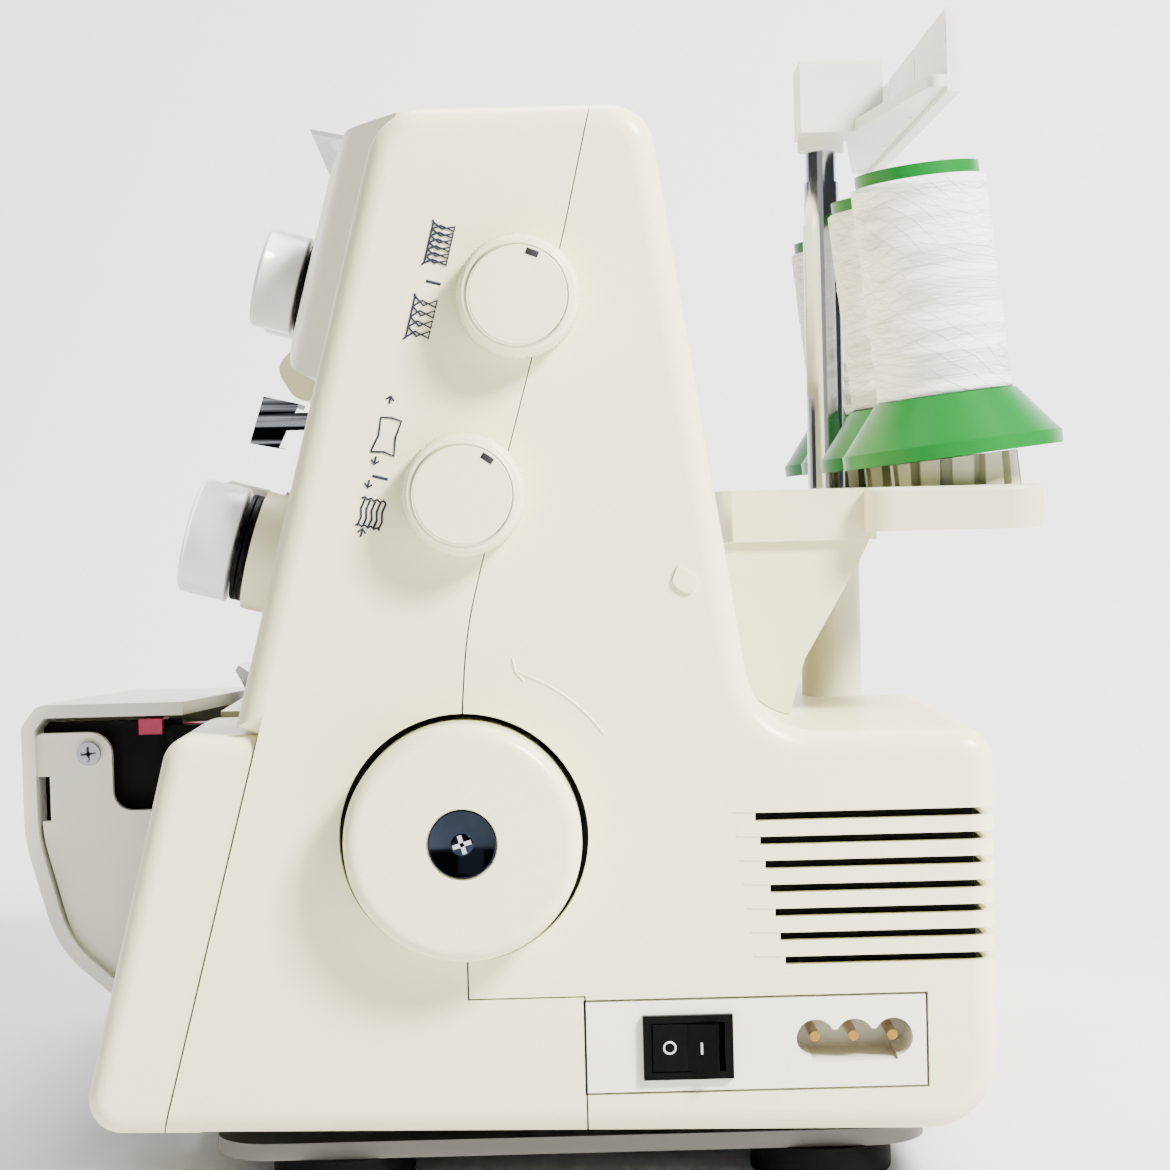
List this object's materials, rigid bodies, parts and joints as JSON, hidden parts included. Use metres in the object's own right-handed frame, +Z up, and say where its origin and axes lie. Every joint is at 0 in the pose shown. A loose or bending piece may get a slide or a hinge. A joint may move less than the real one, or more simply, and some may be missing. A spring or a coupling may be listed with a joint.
{
  "type": "serger overlock machine",
  "caption": "Compact serger with a handwheel, adjusting knobs, tension dials, a sliding looper cover, and a rear spool stand with thread cones and a telescopic thread guide.",
  "frame": {"origin": "on the table, under the middle of the machine's bounding box", "axes": "+Z up; +X towards the handwheel end; -Y is the front, where the fabric is fed in; +Y is the rear, where the spool stand is"},
  "size_m": [0.287, 0.2679, 0.2845],
  "materials": {
    "cream_plastic": "satin moulded",
    "white_plastic": "satin moulded",
    "green_plastic": "satin moulded",
    "white_thread": "wound thread",
    "pink_plastic": "glossy",
    "black_plastic": "fine grain",
    "clear_plastic": "milky translucent",
    "grey_plastic": "satin",
    "chrome_steel": "polished",
    "bright_steel": "ground",
    "cast_frame": "die cast",
    "bronze": "sintered",
    "brass_pin": "plated",
    "foot_rubber": "matte",
    "belt_rubber": "matte",
    "motor_paint": "satin"
  },
  "bodies": {
    "casing": {"base_pan": "grey_plastic", "rubber_feet": "foot_rubber", "case_screws": "bright_steel", "machine_frame": "cast_frame", "front_cover": "cream_plastic", "rear_cover": "cream_plastic", "arm_cover": "cream_plastic", "head_cover": "cream_plastic", "bed_cover": "cream_plastic", "cloth_plate": "cream_plastic", "needle_plate": "bright_steel", "front_corner_cover": "cream_plastic", "power_panel": "white_plastic", "switch_bezel": "black_plastic", "inlet_socket": "white_plastic", "inlet_pins": "brass_pin", "bearing_bushes": "bronze", "motor_body": "motor_paint", "drive_belt": "belt_rubber", "lower_knife": "bright_steel", "tension_studs": "bright_steel", "tension_discs": "black_plastic", "spool_stand_tray": "cream_plastic", "stand_bracket": "cream_plastic", "cone_holders": "cream_plastic", "thread_cones": "green_plastic", "thread_packages": "white_thread", "pole_tube": "chrome_steel", "top_thread_guide": "clear_plastic", "thread_plate": "chrome_steel"},
    "wheel_shaft": {"handwheel": "cream_plastic", "handwheel_screw": "chrome_steel", "main_shaft": "bright_steel"},
    "rotor": {"motor_rotor": "bright_steel"},
    "rocker_switch": {"switch_rocker": "black_plastic"},
    "stitch_knob": {"stitch_length_knob": "cream_plastic"},
    "feed_knob": {"differential_feed_knob": "cream_plastic"},
    "dial_left_needle": {"left_needle_dial": "white_plastic"},
    "dial_right_needle": {"right_needle_dial": "white_plastic"},
    "dial_upper_looper": {"upper_looper_dial": "white_plastic"},
    "dial_lower_looper": {"lower_looper_dial": "white_plastic"},
    "cover_slider": {"cover_hinge_rod": "bright_steel"},
    "cover": {"looper_cover": "cream_plastic", "looper_cover_plate": "white_plastic", "looper_cover_screw": "bright_steel"},
    "finger": {"finger_lever": "pink_plastic"},
    "needle_rocker": {"arm_rocker": "bright_steel"},
    "needle_unit": {"needle_bar": "chrome_steel", "needle_clamp": "chrome_steel", "needles": "chrome_steel"},
    "looper_upper": {"upper_looper": "chrome_steel"},
    "looper_lower": {"lower_looper": "chrome_steel"},
    "knife": {"upper_knife": "bright_steel"},
    "feed": {"feed_dogs": "bright_steel"},
    "presser": {"presser_bar": "chrome_steel", "presser_foot": "chrome_steel"},
    "lifter": {"foot_lifter": "grey_plastic"},
    "pole_second": {"pole_middle": "chrome_steel"},
    "pole_third": {"pole_top": "chrome_steel"},
    "tree": {"thread_tree": "clear_plastic"}
  },
  "joints": [
    {"name": "handwheel_turn", "type": "hinge", "parent": "casing", "child": "wheel_shaft", "pos_m": [0, -0.0182, 0.0844], "axis": [1, 0, 0], "continuous": true},
    {"name": "motor_turn", "type": "hinge", "parent": "casing", "child": "rotor", "pos_m": [0, 0.062, 0.058], "axis": [1, 0, 0], "continuous": true},
    {"name": "switch_rock", "type": "hinge", "parent": "casing", "child": "rocker_switch", "pos_m": [0.1315, 0.0328, 0.0344], "axis": [0, 0, 1], "range_deg": [0, 24]},
    {"name": "stitch_length_turn", "type": "hinge", "parent": "casing", "child": "stitch_knob", "pos_m": [0.1315, -0.0024, 0.2093], "axis": [-1, 0, 0], "range_deg": [-90, 110]},
    {"name": "differential_feed_turn", "type": "hinge", "parent": "casing", "child": "feed_knob", "pos_m": [0.1315, -0.0161, 0.1641], "axis": [-1, 0, 0], "range_deg": [-90, 110]},
    {"name": "left_needle_tension", "type": "hinge", "parent": "casing", "child": "dial_left_needle", "pos_m": [-0.046, -0.0778, 0.2282], "axis": [0, -0.965, 0.2622], "range_deg": [-140, 140]},
    {"name": "right_needle_tension", "type": "hinge", "parent": "casing", "child": "dial_right_needle", "pos_m": [-0.012, -0.0778, 0.2282], "axis": [0, -0.965, 0.2622], "range_deg": [-140, 140]},
    {"name": "upper_looper_tension", "type": "hinge", "parent": "casing", "child": "dial_upper_looper", "pos_m": [0.055, -0.0843, 0.1563], "axis": [0, -0.965, 0.2622], "range_deg": [-140, 140]},
    {"name": "lower_looper_tension", "type": "hinge", "parent": "casing", "child": "dial_lower_looper", "pos_m": [0.0965, -0.0843, 0.1563], "axis": [0, -0.965, 0.2622], "range_deg": [-140, 140]},
    {"name": "cover_slide", "type": "slide", "parent": "casing", "child": "cover_slider", "axis": [1, 0, 0], "range_m": [0, 0.007]},
    {"name": "cover_open", "type": "hinge", "parent": "cover_slider", "child": "cover", "pos_m": [0, -0.106, 0.026], "axis": [1, 0, 0], "range_deg": [0, 75]},
    {"name": "finger_slide", "type": "slide", "parent": "casing", "child": "finger", "axis": [-1, 0, 0], "range_m": [0, 0.005]},
    {"name": "needle_rocker_swing", "type": "hinge", "parent": "casing", "child": "needle_rocker", "pos_m": [0, 0, 0.214], "axis": [1, 0, 0], "range_deg": [0, 31]},
    {"name": "needle_bar_slide", "type": "slide", "parent": "casing", "child": "needle_unit", "axis": [0, -0.2521, -0.9677], "range_m": [0, 0.0208]},
    {"name": "upper_looper_swing", "type": "hinge", "parent": "casing", "child": "looper_upper", "pos_m": [-0.01, -0.066, 0.058], "axis": [0, -1, 0], "range_deg": [0, 18]},
    {"name": "lower_looper_swing", "type": "hinge", "parent": "casing", "child": "looper_lower", "pos_m": [-0.08, -0.06, 0.052], "axis": [0, 1, 0], "range_deg": [-18, 0]},
    {"name": "knife_slide", "type": "slide", "parent": "casing", "child": "knife", "axis": [0, 0, -1], "range_m": [0, 0.006]},
    {"name": "feed_slide", "type": "slide", "parent": "casing", "child": "feed", "axis": [0, 1, 0], "range_m": [0, 0.0025]},
    {"name": "foot_lifter_turn", "type": "hinge", "parent": "casing", "child": "lifter", "pos_m": [-0.06, -0.008, 0.176], "axis": [1, 0, 0], "range_deg": [0, 50]},
    {"name": "presser_slide", "type": "slide", "parent": "casing", "child": "presser", "axis": [0, 0.2521, 0.9677], "range_m": [0, 0.005]},
    {"name": "pole_middle_slide", "type": "slide", "parent": "casing", "child": "pole_second", "axis": [0, 0, 1], "range_m": [0, 0.09]},
    {"name": "pole_top_slide", "type": "slide", "parent": "pole_second", "child": "pole_third", "axis": [0, 0, 1], "range_m": [0, 0.09]},
    {"name": "tree_turn", "type": "hinge", "parent": "pole_third", "child": "tree", "pos_m": [-0.0145, 0.083, 0.2642], "axis": [0, 0, 1], "range_deg": [-90, 90]}
  ],
  "couplings": [
    {"joint": "motor_turn", "follows": "handwheel_turn", "ratio": 3},
    {"joint": "needle_rocker_swing", "follows": "needle_bar_slide", "rad_per_m": 26},
    {"joint": "upper_looper_swing", "follows": "needle_bar_slide", "rad_per_m": 15.1},
    {"joint": "lower_looper_swing", "follows": "needle_bar_slide", "rad_per_m": -15.1},
    {"joint": "knife_slide", "follows": "needle_bar_slide", "ratio": 0.288},
    {"joint": "feed_slide", "follows": "needle_bar_slide", "ratio": 0.12},
    {"joint": "foot_lifter_turn", "follows": "presser_slide", "rad_per_m": 174.5}
  ]
}
